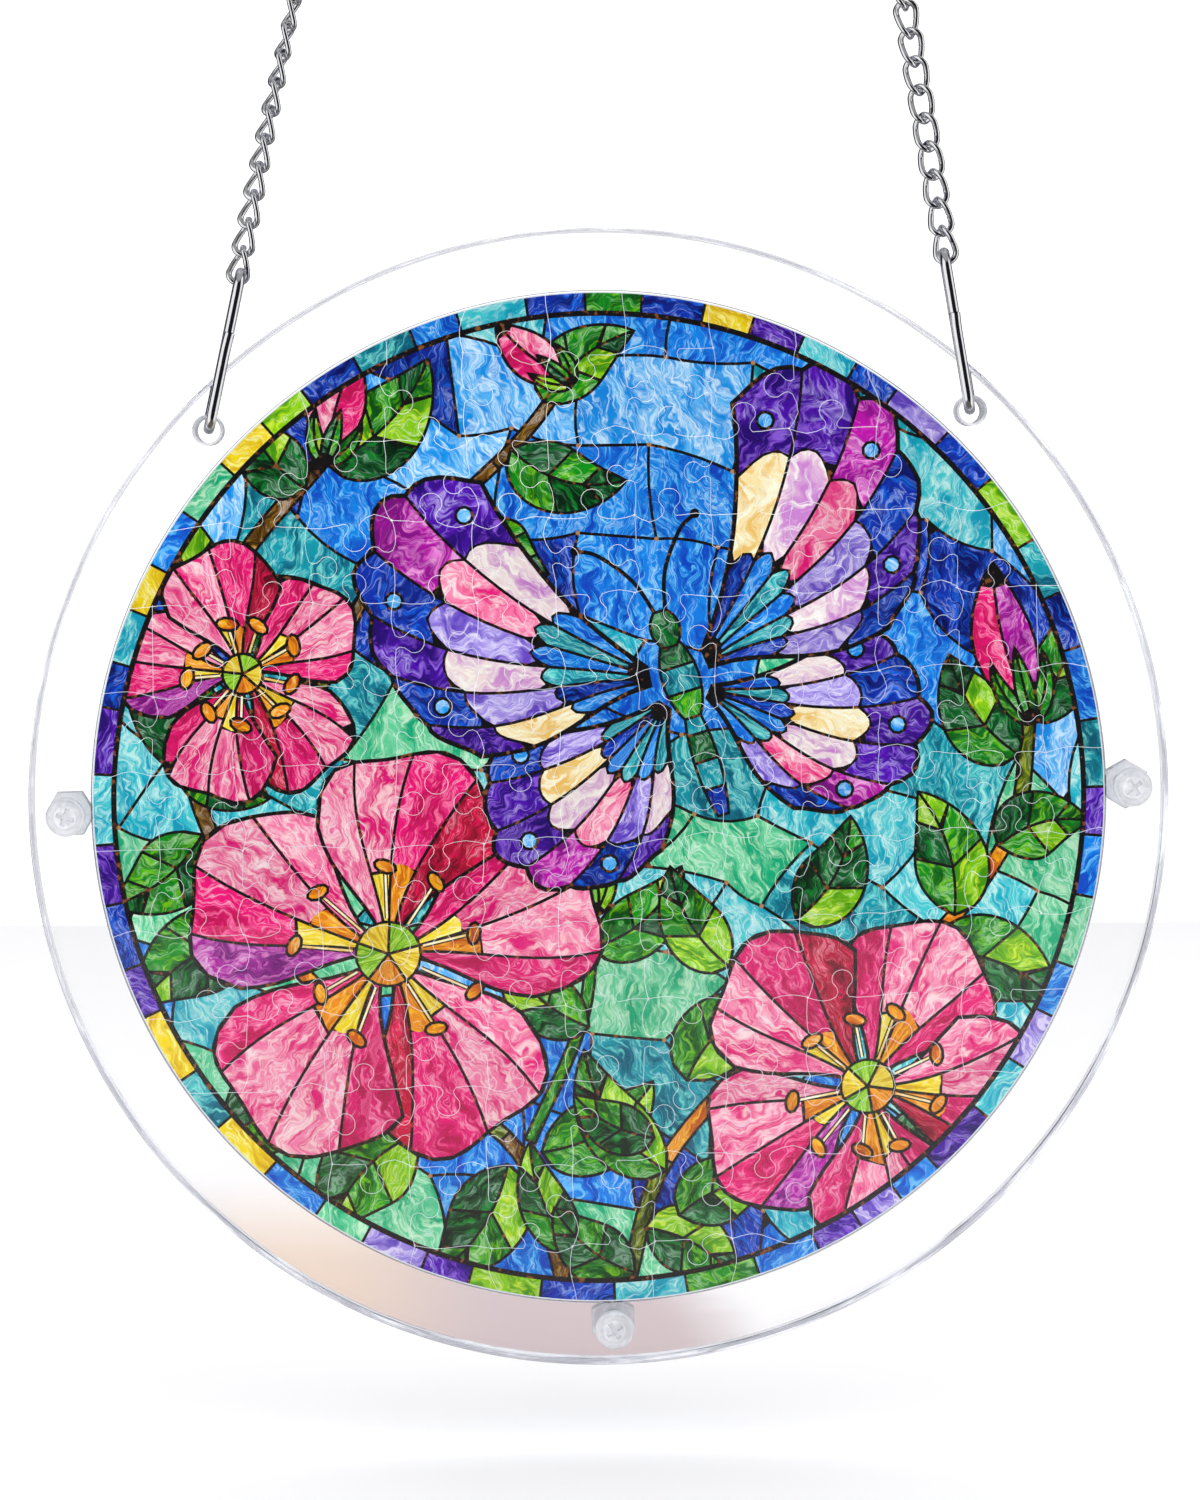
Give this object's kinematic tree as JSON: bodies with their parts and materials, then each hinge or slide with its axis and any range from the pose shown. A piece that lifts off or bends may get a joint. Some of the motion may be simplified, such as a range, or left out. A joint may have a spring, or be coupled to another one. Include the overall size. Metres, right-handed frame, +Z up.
{
  "type": "acrylic suncatcher",
  "caption": "Round hanging suncatcher: a printed round jigsaw puzzle clamped between clear acrylic plates, on wire connectors and short curb chains that end in rings.",
  "frame": {"origin": "midway between the two places where hooks bear, inside the tops of the two end rings", "axes": "+Z up as it hangs, -Y out of the printed front, +X to the right as seen from the front"},
  "size_m": [0.1999, 0.0153, 0.2568],
  "materials": {
    "clear_acrylic": "clear cast acrylic with polished edges",
    "clear_nylon": "clear moulded plastic, slightly milky",
    "printed_puzzle": "glossy print like stained glass, in blues, greens, violets and pinks with black leads",
    "steel_wire": "bright plated steel wire",
    "steel_chain": "bright plated steel curb chain"
  },
  "bodies": {
    "root": {"front_cover": "clear_acrylic", "back_tray": "clear_acrylic", "puzzle": "printed_puzzle", "screw_left": "clear_nylon", "screw_right": "clear_nylon", "screw_bottom": "clear_nylon", "nut_left": "clear_nylon", "nut_right": "clear_nylon", "nut_bottom": "clear_nylon", "connector_left": "steel_wire", "connector_right": "steel_wire", "chain_left_link_01": "steel_chain", "chain_left_link_02": "steel_chain", "chain_left_link_03": "steel_chain", "chain_left_link_04": "steel_chain", "chain_left_link_05": "steel_chain", "chain_left_link_06": "steel_chain", "chain_left_link_07": "steel_chain", "chain_left_link_08": "steel_chain", "chain_left_link_09": "steel_chain", "chain_left_link_10": "steel_chain", "chain_left_link_11": "steel_chain", "ring_left": "steel_wire", "chain_right_link_01": "steel_chain", "chain_right_link_02": "steel_chain", "chain_right_link_03": "steel_chain", "chain_right_link_04": "steel_chain", "chain_right_link_05": "steel_chain", "chain_right_link_06": "steel_chain", "chain_right_link_07": "steel_chain", "chain_right_link_08": "steel_chain", "chain_right_link_09": "steel_chain", "chain_right_link_10": "steel_chain", "ring_right": "steel_wire"}
  },
  "joints": []
}
